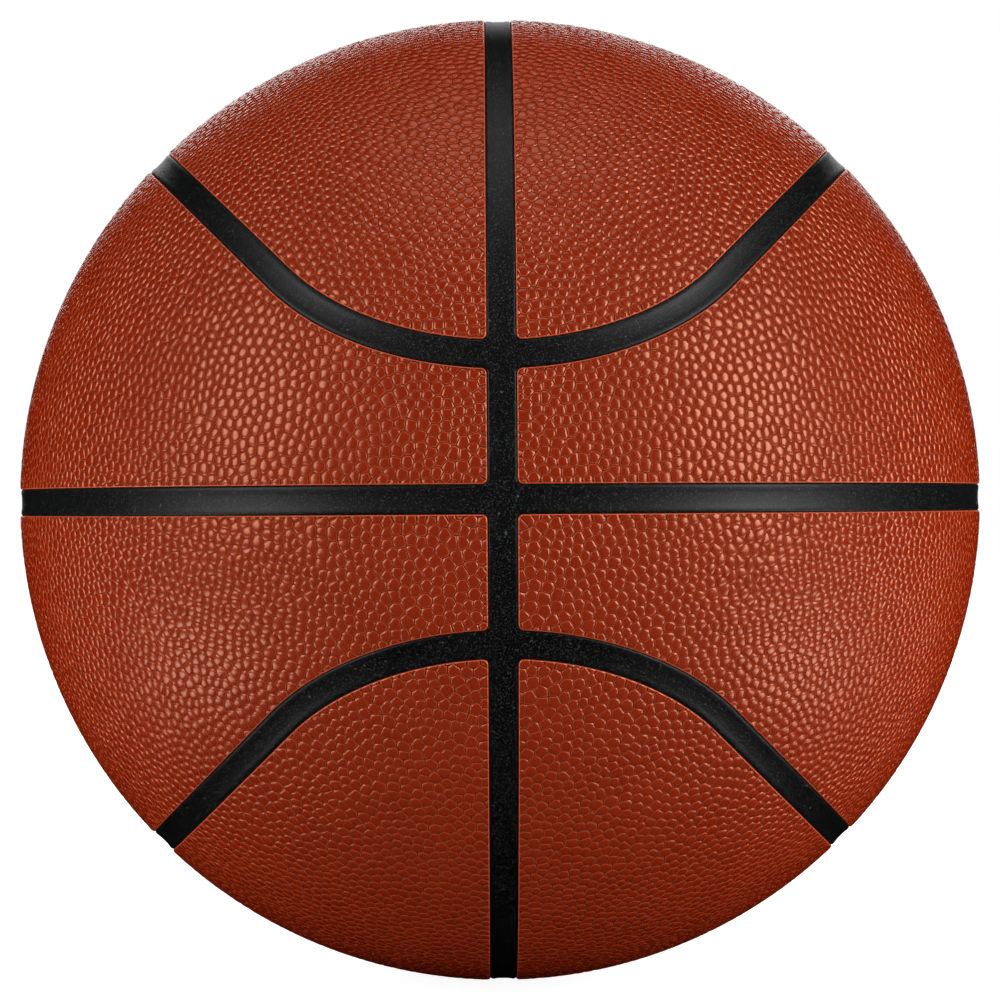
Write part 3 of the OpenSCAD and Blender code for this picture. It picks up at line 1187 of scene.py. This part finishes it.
# %% Strip finish
SCUFF_SIZE = 1.3 * MM
DUST_SIZE = 14 * MM
SPECK_DEPTH = 0.03 * MM
strip_finish = Finish("Channel rubber")
grain = strip_finish.noise(GRAIN_SIZE, 2, 0.7)
specks = strip_finish.between(grain, 0.54, 0.7)
scuffs = strip_finish.between(strip_finish.noise(SCUFF_SIZE, 3), 0.68, 0.76)
dust = strip_finish.between(strip_finish.noise(DUST_SIZE, 2), 0.35, 0.7)
black = strip_finish.blend(dust, srgb(1, 1, 2), srgb(4, 4, 5))
speckled = strip_finish.blend(specks, black, srgb(46, 48, 49))
colour = strip_finish.blend(scuffs * 0.6, speckled, srgb(76, 78, 78))
strip_material = strip_finish.surface(
    height=grain - scuffs * 0.8, depth=SPECK_DEPTH, Base_Color=colour,
    Roughness=0.37 + grain * 0.14, Specular_IOR_Level=0.26,
)
for strip in strips:
    strip.data.materials.append(strip_material)
print("strip finish on", len(strips), "strips")


# %% [markdown]
# The other rubber pieces differ only in tone, shine and the size of their
# grain, so one function makes them all: the two valve pieces, the bladder, its
# balance patch and the carcass.

# %% Rubber finishes
def rubber(name, dark, light, size, depth, shine):
    """Moulded rubber: two close greys and a fine relief."""
    finish = Finish(name)
    fine = finish.noise(size, 3)
    colour = finish.blend(finish.noise(8 * size, 2), srgb(*dark), srgb(*light))
    return finish.surface(height=fine, depth=depth, Base_Color=colour, Roughness=shine + fine * 0.15)


housing_material = rubber("Valve housing rubber", (12, 12, 13), (24, 24, 25), 0.4 * MM, 0.01 * MM, 0.35)
core_material = rubber("Valve core rubber", (20, 19, 18), (38, 36, 34), 0.3 * MM, 0.01 * MM, 0.5)
bladder_material = rubber("Butyl rubber", (16, 16, 17), (30, 30, 31), 1.5 * MM, 0.02 * MM, 0.3)
patch_material = rubber("Patch rubber", (28, 27, 26), (46, 44, 42), 0.8 * MM, 0.03 * MM, 0.55)
carcass_material = rubber("Carcass rubber", (18, 18, 18), (34, 33, 32), 1 * MM, 0.03 * MM, 0.6)
housing.data.materials.append(housing_material)
core.data.materials.append(core_material)
print("valve finishes:", housing_material.name, core_material.name)

# %% [markdown]
# The foam under the cover is full of small pores. A Voronoi texture gives the
# distance from the nearest of many scattered points, and close to a point that
# is a round pore, pressed in and painted darker as painted shade in its hollow.

# %% Foam finish
PORE_SIZE = 0.9 * MM
PORE_DEPTH = 0.12 * MM
sponge = Finish("Sponge backing")
pores = sponge.add("TexVoronoi", {"feature": "F1"}, {"Vector": sponge.place(), "Scale": 1 / PORE_SIZE})
open_pore = sponge.between(pores, 0.15, 0.45)
# Painted shade: the pores are coloured darker than the foam round them.
sponge_colour = sponge.blend(open_pore, srgb(52, 42, 34), srgb(126, 104, 82))
sponge_material = sponge.surface(
    height=open_pore, depth=PORE_DEPTH, Base_Color=sponge_colour, Roughness=0.9,
)
print("pores", round(PORE_DEPTH / MM, 2), "mm deep")

# %% [markdown]
# The winding is nylon thread, wound round and round the bladder. Threads wound
# about an axis are rings at even steps along it, so a sine of the distance
# along the axis gives one layer. Four axes, of which the highest thread wins,
# give the crossing layers. Between the threads the colour is painted darker,
# as painted shade.

# %% Thread finish
THREAD_STEP = 0.9 * MM
THREAD_DEPTH = 0.15 * MM
WINDING_AXES = ((0.2, 0.1, 1), (0.9, -0.3, 0.4), (-0.4, 0.8, 0.5), (0.5, 0.7, -0.5))
thread = Finish("Nylon winding")
wound = None
for winding_axis in WINDING_AXES:
    aim = Vector(winding_axis).normalized()
    dot = {"operation": "DOT_PRODUCT"}
    along = thread.add("VectorMath", dot, {0: thread.place(), 1: aim}, out="Value")
    phase = along * (2 * math.pi / THREAD_STEP)
    ridge = phase.maths("SINE", phase, 0.0)
    wound = ridge if wound is None else wound.maths("MAXIMUM", wound, ridge)
# Painted shade: the low parts between the threads are coloured darker.
thread_colour = thread.blend(thread.between(wound, 0.2, 0.95), srgb(92, 84, 66), srgb(214, 205, 182))
thread_material = thread.surface(
    height=wound, depth=THREAD_DEPTH, Base_Color=thread_colour, Roughness=0.55,
)
print(len(WINDING_AXES), "layers of thread,", round(THREAD_STEP / MM, 2), "mm apart")

# %% [markdown]
# The layers inside the ball come from the frame as they are, and the plain
# panels and strips are still there too, hidden behind the new ones. All of them
# get their finish, found by a word in the node's name.

# %% Finishes on the frame's own pieces
FINISHES = {
    "strip": strip_material, "backing": sponge_material, "carcass": carcass_material,
    "winding": thread_material, "bladder": bladder_material, "balance_patch": patch_material,
    "housing": housing_material, "core": core_material, "panel": cover_material,
}
for name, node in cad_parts.items():
    material = next(value for word, value in FINISHES.items() if word in name)
    node.data.materials.clear()
    node.data.materials.append(material)
print("finishes on", len(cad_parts), "nodes of the frame")
